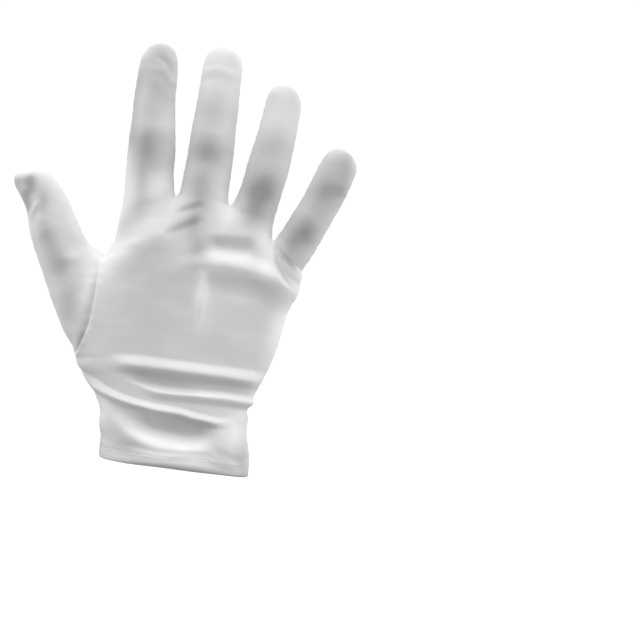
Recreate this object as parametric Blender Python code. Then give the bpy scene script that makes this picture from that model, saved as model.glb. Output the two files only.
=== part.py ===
"""White parade glove for the right hand, filled out as if worn.

Metres, +Z from the cuff to the fingertips, -Y out of the back of the hand, +X towards the little finger.
The origin is the middle of the cuff's opening, where the wrist goes in. Tables are in millimetres.
"""

import math
from collections import namedtuple

import bmesh
import bpy
from mathutils import Vector

MM = 0.001

# Cloth
CLOTH_WALL = 1.0  # knitted cloth of the panels and the thumb
HEM_WALL = 1.8  # the cuff's edge is turned up, so it has two layers
SEAM_SETBACK = 0.17  # each piece stops this far short of its seam line

# How finely the cloth is divided
FINGER_COLUMNS = 6  # across one side of a finger
WEB_COLUMNS = 1  # across the short bridge between two fingers
STEM_RINGS = 7  # from a digit's base to the start of its rounded tip
TIP_RINGS = 3  # round the tip, which a last point closes

# The hand's outline and depth at ten levels from the cuff's edge to the finger roots. radial is the
# thumb's side, ulnar the little finger's side. back and palm are the depths on each side of the side
# seams' plane. square is the power of the section's outline, and bow is how far the level follows the
# curve of the finger roots.
Level = namedtuple("Level", "radial_x radial_z ulnar_x ulnar_z back palm square bow")
HAND = (
    Level(-37.8, 0.0, 38.2, 0.0, 17.5, 17.5, 2.1, 0.00),  # cuff's edge
    Level(-41.3, 15.0, 37.3, 12.0, 18.3, 17.5, 2.1, 0.00),
    Level(-46.6, 33.2, 34.3, 26.5, 18.0, 17.0, 2.1, 0.00),  # wrist
    Level(-54.2, 42.2, 36.0, 43.0, 16.4, 17.5, 2.2, 0.00),  # heel of the hand
    Level(-60.8, 53.2, 41.4, 57.0, 15.2, 18.5, 2.4, 0.05),  # foot of the thumb's seam
    Level(-57.8, 69.0, 45.2, 71.0, 14.8, 18.5, 2.6, 0.20),
    Level(-55.2, 85.0, 47.2, 84.5, 14.8, 17.0, 2.7, 0.45),
    Level(-53.6, 103.2, 50.2, 98.0, 14.8, 15.0, 2.7, 0.72),  # fork of the thumb
    Level(-47.6, 112.0, 52.9, 105.4, 13.9, 13.2, 2.6, 0.90),
    Level(-45.1, 131.8, 52.2, 109.4, 12.5, 11.4, 2.4, 1.00),  # finger roots
)
HEM_TOP = 0.44  # levels, counted from the cuff's edge
THUMB_FOOT = 4.0
THUMB_FORK = 7.0
WEB_DROP_BACK = 22.0  # the cloth falls this far from a web to the full depth of the hand's back
WEB_DROP_PALM = 10.0

# The levels that carry a row of faces, by stretch: (from, to, rows)
ROW_STRETCHES = (
    (0.0, HEM_TOP, 2),
    (HEM_TOP, THUMB_FOOT, 19),
    (THUMB_FOOT, THUMB_FORK, 9),
    (THUMB_FORK, 8.2, 3),
    (8.2, 9.0, 4),
)

# A digit runs along a straight line from its base to its tip. Each station gives the distance along that
# line, the outline on each side of it, the depths, and how far the middle leans to the palm. The base ring
# is skewed by its radial point's distance along the line, and cap is the length of the rounded tip.
Station = namedtuple("Station", "along radial ulnar back palm lean")
Digit = namedtuple("Digit", "name base tip skew cap stations")
INDEX = Digit(
    "index", (-31.8, 136.1), (-35.1, 218.6), -3.8, 12.0,
    (
        Station(0.0, 13.5, 13.5, 12.0, 11.0, 0.0),
        Station(12.0, 13.4, 12.1, 11.3, 10.6, -0.6),
        Station(27.0, 13.3, 12.0, 11.0, 10.0, -1.2),
        Station(45.0, 12.7, 10.2, 10.0, 9.6, -0.4),
        Station(60.0, 12.3, 9.1, 9.0, 9.2, 1.8),
        Station(82.5, 10.6, 8.8, 7.9, 8.5, 6.2),
    ),
)
MIDDLE = Digit(
    "middle", (-3.3, 140.4), (-3.9, 220.6), 1.0, 11.5,
    (
        Station(0.0, 13.2, 13.2, 12.4, 11.2, 0.0),
        Station(7.0, 12.7, 12.5, 12.0, 11.0, -0.4),
        Station(14.0, 12.2, 12.7, 11.7, 10.7, -1.0),
        Station(28.0, 11.4, 12.9, 11.3, 10.2, -1.6),
        Station(43.0, 10.5, 12.3, 10.2, 9.8, -0.6),
        Station(58.0, 9.9, 11.7, 9.1, 9.4, 1.8),
        Station(80.2, 9.2, 11.4, 8.1, 8.7, 6.6),
    ),
)
RING = Digit(
    "ring", (23.0, 132.1), (31.2, 205.2), 6.3, 10.5,
    (
        Station(0.0, 12.3, 12.3, 11.8, 10.8, 0.0),
        Station(6.0, 11.0, 11.3, 11.5, 10.5, -0.2),
        Station(14.0, 10.2, 11.6, 11.0, 10.2, -0.5),
        Station(26.0, 9.8, 12.4, 10.7, 9.8, -0.6),
        Station(41.0, 8.9, 12.3, 9.6, 9.4, 0.6),
        Station(54.0, 8.6, 11.6, 8.7, 8.9, 3.0),
        Station(73.7, 8.7, 9.9, 7.7, 8.3, 7.4),
    ),
)
LITTLE = Digit(
    "little", (43.9, 116.7), (66.0, 175.7), 3.9, 10.0,
    (
        Station(0.0, 10.3, 10.3, 10.6, 10.0, 0.0),
        Station(11.0, 8.9, 11.5, 9.8, 9.4, 0.2),
        Station(23.0, 8.1, 12.0, 9.3, 8.8, 0.6),
        Station(36.0, 8.0, 12.5, 8.5, 8.5, 2.0),
        Station(47.0, 8.4, 12.2, 7.8, 8.1, 4.4),
        Station(63.0, 8.2, 10.6, 7.1, 7.5, 8.0),
    ),
)
FINGERS = (INDEX, MIDDLE, RING, LITTLE)
THUMB = Digit(
    "thumb", (-56.2, 78.4), (-100.0, 141.8), -18.6, 8.5,
    (
        Station(0.0, 16.2, 16.2, 9.9, 16.0, 0.0),
        Station(12.0, 16.1, 14.3, 11.0, 13.6, 2.6),
        Station(24.0, 14.3, 14.0, 11.4, 12.2, 5.0),
        Station(36.0, 12.7, 14.1, 10.9, 11.5, 7.4),
        Station(48.0, 10.6, 14.7, 9.9, 10.7, 9.6),
        Station(60.0, 7.1, 15.0, 8.8, 9.6, 11.6),
        Station(77.1, 6.4, 10.8, 5.0, 6.0, 13.4),
    ),
)
CAP_POWER = 2.3  # above 2, a tip is blunter than a half circle
SKEW_REACH = 34.0  # a digit's rings are square to its line from here on
THUMB_SEAM_SAG = 17.0  # the thumb's seam curves this far into the palm
RELAX_STEPS = 5  # how long the cloth round the thumb's seam is smoothed,
RELAX_OUTLINE_STEPS = 2  # and for how much of that also in the outline

# Broad swellings and hollows of the palm: centre, radii, and height (below 0 for a hollow).
Swell = namedtuple("Swell", "x z radius_x radius_z height")
PALM_SWELLS = (
    Swell(-30.0, 62.0, 20.0, 24.0, 2.6),  # ball of the thumb
    Swell(26.0, 52.0, 15.0, 26.0, 2.2),  # heel under the little finger
    Swell(2.0, 80.0, 18.0, 20.0, -3.0),  # hollow of the palm
    Swell(4.0, 114.0, 40.0, 9.0, 1.6),  # pads under the fingers
)

# Folds of slack cloth. Each is a ridge from start through middle to end (x, z). height is the ridge's,
# above and below are its widths on the finger's and the wrist's side, and trough is the furrow's depth
# just below it.
Fold = namedtuple("Fold", "start middle end height above below trough")
BACK_FOLDS = (
    Fold((-46.0, 50.5), (-4.5, 51.0), (36.0, 50.0), 1.9, 3.8, 2.4, 1.6),
    Fold((-32.0, 43.0), (-4.0, 39.0), (35.0, 41.0), 1.4, 2.6, 1.9, 0.9),
    Fold((-49.0, 38.5), (-8.0, 28.5), (34.0, 28.0), 2.6, 3.4, 2.6, 2.0),
    Fold((-41.0, 25.5), (-8.0, 12.5), (26.0, 14.0), 1.3, 4.0, 5.0, 0.0),
    Fold((-1.0, 110.5), (24.0, 106.5), (47.0, 99.0), 1.3, 5.0, 2.6, 1.1),
    Fold((1.0, 122.5), (13.0, 123.5), (27.0, 124.5), 1.0, 3.6, 2.2, 1.1),
)
PALM_FOLDS = (
    Fold((-43.0, 30.0), (-4.0, 32.0), (33.0, 40.0), 1.8, 3.0, 2.4, 1.3),
    Fold((-42.0, 20.0), (-2.0, 21.0), (33.0, 28.0), 2.0, 3.0, 2.4, 1.6),
    Fold((-40.0, 10.0), (-6.0, 12.0), (35.0, 16.0), 1.2, 4.0, 3.0, 0.6),
)
FOLD_END = 9.0  # a fold fades out over this length at each end
FURROW_PLACE = 2.1  # the furrow lies this far below the ridge, in widths of the lower slope
SIDE_FADE = 1.6  # folds and swellings fade out where the cloth turns to the side, faster with more of this

BACK, PALM, THUMB_PIECE, HEM = range(4)
PIECES = (
    ("back_panel", BACK, CLOTH_WALL),
    ("palm_panel", PALM, CLOTH_WALL),
    ("thumb", THUMB_PIECE, CLOTH_WALL),
    ("cuff_hem", HEM, HEM_WALL),
)


def blend(a, b, share):
    return a + (b - a) * share


def eased(share):
    share = min(1.0, max(0.0, share))
    return share * share * (3 - 2 * share)


def arch(share):
    """The height of a half circle over a share from 0 to 1."""
    return math.sqrt(max(0.0, 1 - (2 * share - 1) ** 2))


def curve_through(places, values, at):
    """A smooth curve through values at rising places, read at one place."""
    last = len(places) - 1
    i = max(k for k in range(last) if places[k] <= at or k == 0)
    x0, x1 = places[i], places[i + 1]
    step = x1 - x0
    chord = (values[i + 1] - values[i]) / step

    def slope(k):
        if k in (0, last):
            return chord
        before = (values[k] - values[k - 1]) / (places[k] - places[k - 1])
        after = (values[k + 1] - values[k]) / (places[k + 1] - places[k])
        return (before + after) / 2

    s = (at - x0) / step
    ease_in = s * (1 - s) ** 2
    ease_out = s * s * (s - 1)
    return blend(values[i], values[i + 1], eased(s)) + step * (ease_in * slope(i) + ease_out * slope(i + 1))


def row_read(table, places, at):
    """A row between the rows of a table, read from smooth curves through its columns."""
    return type(table[0])(*(curve_through(places, column, at) for column in zip(*table)))


def hand_at(level):
    return row_read(HAND, range(len(HAND)), level)


def station_at(digit, along):
    return row_read(digit.stations, [row.along for row in digit.stations], along)


def digit_line(digit):
    """The base, the unit vector to the tip, the unit vector to the ulnar side, and the length."""
    base = Vector(digit.base)
    span = Vector(digit.tip) - base
    forward = span.normalized()
    return base, forward, Vector((forward.y, -forward.x)), span.length


def digit_sides(digit, along):
    """The radial and ulnar outline points (x, z) at a distance along a digit, its station and roundness."""
    base, forward, aside, length = digit_line(digit)
    station = station_at(digit, along)
    skew = digit.skew * (1 - eased(along / SKEW_REACH))
    into_cap = max(0.0, along - (length - digit.cap)) / digit.cap
    roundness = max(0.0, 1 - into_cap**CAP_POWER) ** (1 / CAP_POWER)
    radial = base + forward * (along + skew) - aside * station.radial * roundness
    ulnar = base + forward * (along - skew) + aside * station.ulnar * roundness
    return radial, ulnar, station, roundness


def ring_places(digit):
    """The distance along a digit of each of its rings."""
    length = digit_line(digit)[3]
    stem = length - digit.cap
    turns = [0.5 * math.pi * i / (TIP_RINGS + 0.6) for i in range(1, TIP_RINGS + 1)]
    return [stem * i / STEM_RINGS for i in range(1, STEM_RINGS + 1)] + [
        stem + digit.cap * math.sin(turn) for turn in turns
    ]


def digit_ring(digit, along, columns, loop):
    """The points of one ring: along the back from the radial side to the ulnar side, then along the palm."""
    radial, ulnar, station, roundness = digit_sides(digit, along)
    points = []
    for i in range(2 * columns):
        on_back = i <= columns
        turn = math.pi * (i if on_back else 2 * columns - i) / columns
        flat = radial.lerp(ulnar, (1 - math.cos(turn)) / 2)
        depth = math.sin(turn) * roundness * (-station.back if on_back else station.palm)
        if loop is not None:
            hold = 1 - eased(along / SKEW_REACH)
            depth = blend(depth, loop[i].y, hold)
            sunk = Vector((loop[i].x, loop[i].z)) - thumb_root(i, columns)
            flat = flat + sunk * hold
        points.append(Vector((flat.x, depth + station.lean, flat.y)))
    return points


def thumb_root(i, columns):
    """Where a plain skewed ring would have its i-th point at the thumb's base."""
    radial, ulnar, _, _ = digit_sides(THUMB, 0.0)
    turn = math.pi * (i if i <= columns else 2 * columns - i) / columns
    return radial.lerp(ulnar, (1 - math.cos(turn)) / 2)


def finger_root_row():
    """The top row of the hand: its points (x, z), and the depth that each finger's root gives them."""
    points, back, palm = [], [], []
    for digit in FINGERS:
        radial, ulnar, station, _ = digit_sides(digit, 0.0)
        if points:
            for i in range(1, WEB_COLUMNS):
                points.append(points[-1].lerp(radial, i / WEB_COLUMNS))
                back.append(0.0)
                palm.append(0.0)
        for i in range(FINGER_COLUMNS + 1):
            turn = math.pi * i / FINGER_COLUMNS
            points.append(radial.lerp(ulnar, (1 - math.cos(turn)) / 2))
            back.append(math.sin(turn) * station.back)
            palm.append(math.sin(turn) * station.palm)
    return points, back, palm


TOP_ROW, TOP_BACK, TOP_PALM = finger_root_row()
COLUMNS = len(TOP_ROW) - 1


def hand_row(level, on_back):
    """The points of one row of the hand's back or palm, from the radial to the ulnar side."""
    row = hand_at(level)
    radial = Vector((row.radial_x, row.radial_z))
    ulnar = Vector((row.ulnar_x, row.ulnar_z))
    depth = row.back if on_back else row.palm
    drop = WEB_DROP_BACK if on_back else WEB_DROP_PALM
    top_depth = TOP_BACK if on_back else TOP_PALM
    opening = (level - THUMB_FOOT) / (THUMB_FORK - THUMB_FOOT)
    opening = arch(opening) if 0 < opening < 1 else 0.0
    side_depth = opening * (THUMB.stations[0].back if on_back else THUMB.stations[0].palm)
    sag = 0.0 if on_back else opening * THUMB_SEAM_SAG
    top_chord = TOP_ROW[-1] - TOP_ROW[0]
    points = []
    for k in range(COLUMNS + 1):
        at_top = (TOP_ROW[k] - TOP_ROW[0]).dot(top_chord) / top_chord.length_squared
        at_cuff = (1 - math.cos(math.pi * k / COLUMNS)) / 2
        across = blend(at_cuff, at_top, eased(level / (len(HAND) - 1)))
        bowed = TOP_ROW[k] - TOP_ROW[0].lerp(TOP_ROW[-1], at_top)
        flat = radial.lerp(ulnar, across) + bowed * row.bow
        flat.x += sag * (1 - across) ** 2
        fullness = 1 - abs(2 * across - 1) ** row.square
        seam_side = side_depth if across < 0.5 else 0.0
        wide = seam_side**2 + (depth**2 - seam_side**2) * fullness
        below_top = (TOP_ROW[k] - flat).length
        rise = 1 - (1 - min(below_top / drop, 1.0)) ** 2
        deep = math.sqrt(max(0.0, blend(top_depth[k] ** 2, wide, rise)))
        points.append(Vector((flat.x, -deep if on_back else deep, flat.y)))
    return points


def hand_loop(level):
    """A whole ring of the hand: the back from the radial to the ulnar side, then the palm back again."""
    return hand_row(level, True) + hand_row(level, False)[::-1]


def row_levels():
    levels = [0.0]
    for start, end, rows in ROW_STRETCHES:
        shares = [(i + 1) / rows for i in range(rows)]
        if start == THUMB_FOOT:
            shares = [(1 - math.cos(math.pi * share)) / 2 for share in shares]
        levels += [blend(start, end, share) for share in shares]
    return levels


def raised(bm, ring, places, closed=True):
    """Extrudes a ring of vertices by one row of faces and puts the new vertices in their places."""
    count = len(ring) if closed else len(ring) - 1
    edges = [bm.edges.get((ring[i], ring[(i + 1) % len(ring)])) for i in range(count)]
    made = bmesh.ops.extrude_edge_only(bm, edges=edges)["geom"]
    fresh = {item for item in made if isinstance(item, bmesh.types.BMVert)}
    risen = [next(e.other_vert(v) for e in v.link_edges if e.other_vert(v) in fresh) for v in ring]
    for vert, place in zip(risen, places):
        vert.co = place
    faces = [item for item in made if isinstance(item, bmesh.types.BMFace)]
    return risen, faces


def close_tip(bm, ring, digit):
    """Closes a digit with faces from its last ring to its tip point."""
    station = digit.stations[-1]
    tip = bm.verts.new(Vector((digit.tip[0], station.lean, digit.tip[1])))
    count = len(ring)
    return [bm.faces.new((ring[i], ring[(i + 1) % count], tip)) for i in range(count)]


def side_of(face, ring, halfway):
    """BACK for a face over the first half of a ring, PALM for the second half."""
    places = [ring[v] for v in face.verts if v in ring]
    low, high = min(places), max(places)
    wraps = high - low > 1 and low == 0
    return PALM if wraps or low >= halfway else BACK


def raise_digit(bm, ring, digit, columns, piece, loop=None):
    """Grows a digit from a ring of vertices. piece is its node, or None for one half on each panel."""
    for along in ring_places(digit):
        order = {v: i for i, v in enumerate(ring)}
        ring, faces = raised(bm, ring, digit_ring(digit, along, columns, loop))
        for face in faces:
            face.material_index = side_of(face, order, columns) if piece is None else piece
    order = {v: i for i, v in enumerate(ring)}
    for face in close_tip(bm, ring, digit):
        face.material_index = side_of(face, order, columns) if piece is None else piece


def raise_hand(bm):
    """Grows the hand from the cuff's edge to the finger roots, and returns its rows and their levels."""
    levels = row_levels()
    ring = bmesh.ops.create_circle(bm, segments=2 * COLUMNS + 2, radius=1.0)["verts"]
    for vert, place in zip(ring, hand_loop(0.0)):
        vert.co = place
    rows = [ring]
    for level in levels[1:]:
        order = {v: i for i, v in enumerate(ring)}
        ring, faces = raised(bm, ring, hand_loop(level))
        for face in faces:
            side = side_of(face, order, COLUMNS)
            face.material_index = HEM if level <= HEM_TOP + 1e-6 else side
        rows.append(ring)
    return rows, levels


def side_strips(rows, levels):
    """The faces between the back's and the palm's edges: those that close up, and those at the thumb."""
    closing, opening = [], []
    for lower, upper, low_level, high_level in zip(rows, rows[1:], levels, levels[1:]):
        at_thumb = low_level >= THUMB_FOOT - 1e-6 and high_level <= THUMB_FORK + 1e-6
        for a, b in ((0, -1), (COLUMNS, COLUMNS + 1)):
            corners = {lower[a], lower[b], upper[a], upper[b]}
            strip = next(f for f in lower[a].link_faces if set(f.verts) == corners)
            (opening if at_thumb and a == 0 else closing).append(strip)
    return closing, opening


def thumb_loop(rows, levels):
    """The vertices round the thumb's seam: up the back's edge, then down the palm's edge."""
    at_seam = [i for i, level in enumerate(levels) if THUMB_FOOT - 1e-6 <= level <= THUMB_FORK + 1e-6]
    return [rows[i][0] for i in at_seam] + [rows[i][-1] for i in reversed(at_seam[1:-1])]


def finger_loop(top, start):
    """The vertices round one finger's root, from the radial side along the back, then along the palm."""
    back = top[start : start + FINGER_COLUMNS + 1]
    mirrored = [top[2 * COLUMNS + 1 - k] for k in range(start + FINGER_COLUMNS - 1, start, -1)]
    return back + mirrored


def weld_sides(bm, rows, levels):
    """Makes one vertex of the back's and the palm's edge where they meet in a side seam or a web."""
    targets = {}
    for row, level in zip(rows, levels):
        inside_thumb = THUMB_FOOT + 1e-6 < level < THUMB_FORK - 1e-6
        if not inside_thumb:
            targets[row[-1]] = row[0]
        targets[row[COLUMNS + 1]] = row[COLUMNS]
    top = rows[-1]
    for k in range(1, COLUMNS):
        if TOP_BACK[k] < 1e-6:
            targets[top[2 * COLUMNS + 1 - k]] = top[k]
    bmesh.ops.weld_verts(bm, targetmap=targets)


def fold_height(folds, x, z):
    """How far the folds push the cloth out at one place, in millimetres."""
    total = 0.0
    for fold in folds:
        start, middle, end = Vector(fold.start), Vector(fold.middle), Vector(fold.end)
        share = (x - start.x) / (end.x - start.x)
        if not -0.4 < share < 1.4:
            continue
        through = 2 * middle - (start + end) / 2
        inside = min(1.0, max(0.0, share))
        ridge_z = blend(blend(start.y, through.y, inside), blend(through.y, end.y, inside), inside)
        over = max(-share, share - 1, 0.0) * (end.x - start.x)
        fade = math.exp(-((over / FOLD_END) ** 2)) * eased(0.25 + 3 * min(inside, 1 - inside))
        away = z - ridge_z
        width = fold.above if away > 0 else fold.below
        crest = fold.height * math.exp(-((away / width) ** 2))
        furrow = fold.trough * math.exp(-((away / fold.below + FURROW_PLACE) ** 2))
        total += fade * (crest - furrow)
    return total


def swell_height(x, z):
    return sum(
        swell.height
        * math.exp(-(((x - swell.x) / swell.radius_x) ** 2) - ((z - swell.z) / swell.radius_z) ** 2)
        for swell in PALM_SWELLS
    )


def relax_thumb_seam(bm, loop):
    """Smooths the cloth on both sides of the thumb's seam, so that the thumb flows out of the hand."""
    near = set(loop)
    for _ in range(3):
        near |= {edge.other_vert(v) for v in near for edge in v.link_edges}
    for step in range(RELAX_STEPS):
        outline_too = step < RELAX_OUTLINE_STEPS
        bmesh.ops.smooth_vert(
            bm, verts=list(near), factor=0.5, use_axis_x=outline_too, use_axis_y=True, use_axis_z=outline_too
        )


def press_folds(bm):
    """Moves the cloth along its normals by the folds and the palm's swellings."""
    bm.normal_update()
    moves = []
    for vert in bm.verts:
        x, _, z = vert.co
        facing = vert.normal.y
        hold = min(1.0, SIDE_FADE * abs(facing))
        if facing < 0:
            height = fold_height(BACK_FOLDS, x, z) * hold
        else:
            height = (fold_height(PALM_FOLDS, x, z) + swell_height(x, z)) * hold
        moves.append(vert.normal * height)
    for vert, move in zip(bm.verts, moves):
        vert.co += move


def glove_skin():
    """The outside of the whole glove as one surface, each face marked with its piece."""
    bm = bmesh.new()
    rows, levels = raise_hand(bm)
    closing, opening = side_strips(rows, levels)
    bmesh.ops.delete(bm, geom=opening, context="FACES")
    weld_sides(bm, rows, levels)
    loop = thumb_loop(rows, levels)
    start = 0
    for digit in FINGERS:
        ring = finger_loop(rows[-1], start)
        raise_digit(bm, ring, digit, FINGER_COLUMNS, None)
        start += FINGER_COLUMNS + WEB_COLUMNS
    places = [v.co.copy() for v in loop]
    raise_digit(bm, loop, THUMB, len(loop) // 2, THUMB_PIECE, places)
    bmesh.ops.recalc_face_normals(bm, faces=bm.faces)
    relax_thumb_seam(bm, loop)
    press_folds(bm)
    bm.normal_update()
    return bm


def cut_piece(skin, piece):
    """The faces of one piece, stopped a little short of its seams. Returns it with each vertex's normal."""
    bm = skin.copy()
    bm.verts.ensure_lookup_table()
    normals = bm.verts.layers.float_vector.new("skin_normal")
    for vert in bm.verts:
        vert[normals] = vert.normal
    others = [face for face in bm.faces if face.material_index != piece]
    bmesh.ops.delete(bm, geom=others, context="FACES")
    cuff = min(v.co.z for v in bm.verts) if piece == HEM else None
    moves = {}
    for vert in bm.verts:
        if not vert.is_boundary:
            continue
        if cuff is not None and vert.co.z < cuff + HEM_WALL / 2:
            continue
        inner = [e.other_vert(vert) for e in vert.link_edges if not e.is_boundary]
        if not inner:
            inner = [v for f in vert.link_faces for v in f.verts if v != vert]
        towards = sum((v.co for v in inner), Vector()) / len(inner) - vert.co
        towards -= vert.normal * towards.dot(vert.normal)
        moves[vert] = towards.normalized() * SEAM_SETBACK
    for vert, move in moves.items():
        vert.co += move
    return bm, normals


def give_wall(bm, normals, wall):
    """Turns a piece of skin into a closed wall of cloth, thickened inwards."""
    made = bmesh.ops.extrude_face_region(bm, geom=bm.faces[:], use_keep_orig=True)["geom"]
    inner = [item for item in made if isinstance(item, bmesh.types.BMVert)]
    for vert in inner:
        vert.co -= Vector(vert[normals]) * wall
    bmesh.ops.recalc_face_normals(bm, faces=bm.faces)


def white_knit(name, tone, roughness):
    material = bpy.data.materials.new(name)
    material.use_nodes = True
    shader = material.node_tree.nodes["Principled BSDF"]
    shader.inputs["Base Color"].default_value = (tone, tone, tone, 1.0)
    shader.inputs["Roughness"].default_value = roughness
    return material


def place_piece(name, bm, material):
    bmesh.ops.scale(bm, vec=(MM, MM, MM), verts=bm.verts)
    for face in bm.faces:
        face.material_index = 0
    mesh = bpy.data.meshes.new(name)
    bm.to_mesh(mesh)
    bm.free()
    mesh.shade_smooth()
    mesh.materials.append(material)
    bpy.context.scene.collection.objects.link(bpy.data.objects.new(name, mesh))


def main():
    for obj in list(bpy.data.objects):
        bpy.data.objects.remove(obj)
    skin = glove_skin()
    for name, piece, wall in PIECES:
        bm, normals = cut_piece(skin, piece)
        give_wall(bm, normals, wall)
        place_piece(name, bm, white_knit(name + "_knit", 0.86, 0.7))
    skin.free()


main()
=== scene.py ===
"""Looks of a white parade glove: thin knitted cloth drawn over a hand, with slack folds at the wrist.

The skin is raised as one cage from the cuff to the fingertips, smoothed, pressed into its folds, and then
cut into the pieces that a glove maker sews together. Tables are in millimetres, as are all shapes until a
piece is finished. +Z runs to the fingertips, -Y out of the back of the hand and +X to the little finger.
"""

import math
from collections import namedtuple

import bmesh
import bpy
import numpy as np
from mathutils import Matrix, Vector
from mathutils.kdtree import KDTree


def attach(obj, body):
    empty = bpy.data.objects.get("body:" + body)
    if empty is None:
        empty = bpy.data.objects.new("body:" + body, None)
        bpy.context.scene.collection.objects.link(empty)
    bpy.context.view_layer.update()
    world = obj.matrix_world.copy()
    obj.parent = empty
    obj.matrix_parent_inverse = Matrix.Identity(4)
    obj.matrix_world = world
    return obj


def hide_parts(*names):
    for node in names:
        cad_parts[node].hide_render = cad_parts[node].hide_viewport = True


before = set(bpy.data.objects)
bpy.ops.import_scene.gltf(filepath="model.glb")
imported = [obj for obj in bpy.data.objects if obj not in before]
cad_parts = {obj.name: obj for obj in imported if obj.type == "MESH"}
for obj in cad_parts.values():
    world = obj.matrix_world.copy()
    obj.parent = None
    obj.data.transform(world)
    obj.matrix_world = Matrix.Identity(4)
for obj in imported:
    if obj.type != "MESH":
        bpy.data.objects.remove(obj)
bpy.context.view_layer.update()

MM = 0.001

# Cloth
CLOTH_WALL = 0.7
HEM_WALL = 1.5
SEAM_SETBACK = 0.04  # each piece stops this far short of its seam line

# How finely the cage is divided. Smoothing then splits each face into 16.
FINGER_COLUMNS = 9
WEB_COLUMNS = 1
STEM_RINGS = 20
TIP_RINGS = 5
SMOOTHING = 2

# The hand's outline and depth at ten levels, as in the solid part but for a thumb's seam that is further in.
# radial is the thumb's side and ulnar the little finger's. back and palm are the depths to each side of the
# side seams' plane, square is the power of the section's outline, and bow is how far the level follows the
# curve of the finger roots.
Level = namedtuple("Level", "radial_x radial_z ulnar_x ulnar_z back palm square bow")
HAND = (
    Level(-37.8, 0, 38.2, 0, 17.5, 17.5, 2.1, 0),  # cuff's edge
    Level(-41.3, 15, 37.3, 12, 18.3, 17.5, 2.1, 0),
    Level(-46.6, 33.2, 34.3, 26.5, 18, 17, 2.1, 0),  # wrist
    Level(-54.2, 42.2, 36, 43, 16.4, 17.5, 2.2, 0),  # heel of the hand
    Level(-59.3, 50.2, 41.4, 57, 15.2, 18.5, 2.4, 0.05),  # foot of the thumb's seam
    Level(-53.3, 65.6, 45.2, 71, 14.8, 18.5, 2.6, 0.20),
    Level(-52.3, 83.5, 47.2, 84.5, 14.8, 17, 2.7, 0.45),
    Level(-51.8, 103.2, 50.2, 98, 14.8, 15, 2.7, 0.72),  # fork of the thumb
    Level(-47.6, 112, 52.9, 105.4, 13.9, 13.2, 2.6, 0.90),
    Level(-45.1, 131.8, 52.2, 109.4, 12.5, 11.4, 2.4, 1),  # finger roots
)
HEM_TOP = 0.44  # the hem's seam, as a level
HEM_LINE = 6.6  # where that is on the thumb's side
THUMB_FOOT = 4.0  # the levels where the thumb's seam starts and ends
THUMB_FORK = 7.0
WEB_DROP_BACK = 22.0  # how far below the webs the hand has its full depth
WEB_DROP_PALM = 10.0
HAIR = 1e-6
# from level, to level, rows
ROW_STRETCHES = (
    (0.0, HEM_TOP, 5),
    (HEM_TOP, THUMB_FOOT, 24),
    (THUMB_FOOT, THUMB_FORK, 19),
    (THUMB_FORK, 8.2, 4),
    (8.2, 9.0, 6),
)

# A digit runs from its base to its tip (x, z). skew is how far its first rings slope, and cap how long its
# rounded end is. Its stations give half its width to each side, its depths, and how far it leans to the palm.
Station = namedtuple("Station", "along radial ulnar back palm lean")
Digit = namedtuple("Digit", "base tip skew cap stations")
INDEX = Digit(
    (-31.8, 136.1), (-35.1, 218.6), -3.8, 12,
    (
        Station(0, 13.5, 13.5, 12, 11, 0),
        Station(12, 13.4, 12.1, 11.3, 10.6, -0.6),
        Station(27, 13.3, 12, 11, 10, -1.2),
        Station(45, 12.7, 10.2, 10, 9.6, -0.4),
        Station(60, 12.3, 9.1, 9, 9.2, 1.8),
        Station(82.5, 10.6, 8.8, 7.9, 8.5, 6.2),
    ),
)
MIDDLE = Digit(
    (-3.3, 140.4), (-3.9, 220.6), 1, 11.5,
    (
        Station(0, 13.2, 13.2, 12.4, 11.2, 0),
        Station(7, 12.7, 12.5, 12, 11, -0.4),
        Station(14, 12.2, 12.7, 11.7, 10.7, -1),
        Station(28, 11.4, 12.9, 11.3, 10.2, -1.6),
        Station(43, 10.5, 12.3, 10.2, 9.8, -0.6),
        Station(58, 9.9, 11.7, 9.1, 9.4, 1.8),
        Station(80.2, 9.2, 11.4, 8.1, 8.7, 6.6),
    ),
)
RING = Digit(
    (23, 132.1), (31.2, 205.2), 6.3, 10.5,
    (
        Station(0, 12.3, 12.3, 11.8, 10.8, 0),
        Station(6, 11, 11.3, 11.5, 10.5, -0.2),
        Station(14, 10.2, 11.6, 11, 10.2, -0.5),
        Station(26, 9.8, 12.4, 10.7, 9.8, -0.6),
        Station(41, 8.9, 12.3, 9.6, 9.4, 0.6),
        Station(54, 8.6, 11.6, 8.7, 8.9, 3),
        Station(73.7, 8.7, 9.9, 7.7, 8.3, 7.4),
    ),
)
LITTLE = Digit(
    (43.9, 116.7), (66, 175.7), 3.9, 10,
    (
        Station(0, 10.3, 10.3, 10.6, 10, 0),
        Station(11, 8.9, 11.5, 9.8, 9.4, 0.2),
        Station(23, 8.1, 12, 9.3, 8.8, 0.6),
        Station(36, 8, 12.5, 8.5, 8.5, 2),
        Station(47, 8.4, 12.2, 7.8, 8.1, 4.4),
        Station(63, 8.2, 10.6, 7.1, 7.5, 8),
    ),
)
FINGERS = (INDEX, MIDDLE, RING, LITTLE)
THUMB = Digit(
    (-56.2, 78.4), (-100, 141.8), -18.6, 8.5,
    (
        Station(0, 16.2, 16.2, 9.9, 16, 0),
        Station(12, 16.1, 14.3, 11, 13.6, 2.6),
        Station(24, 14.3, 14, 11.4, 12.2, 5),
        Station(36, 12.7, 14.1, 10.9, 11.5, 7.4),
        Station(48, 10.6, 14.7, 9.9, 10.7, 9.6),
        Station(60, 7.1, 15, 8.8, 9.6, 11.6),
        Station(77.1, 6.4, 10.8, 5, 6, 13.4),
    ),
)
CAP_POWER = 2.3  # how square a rounded end is
SKEW_REACH = 34.0  # how far up a digit its rings still slope
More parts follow.
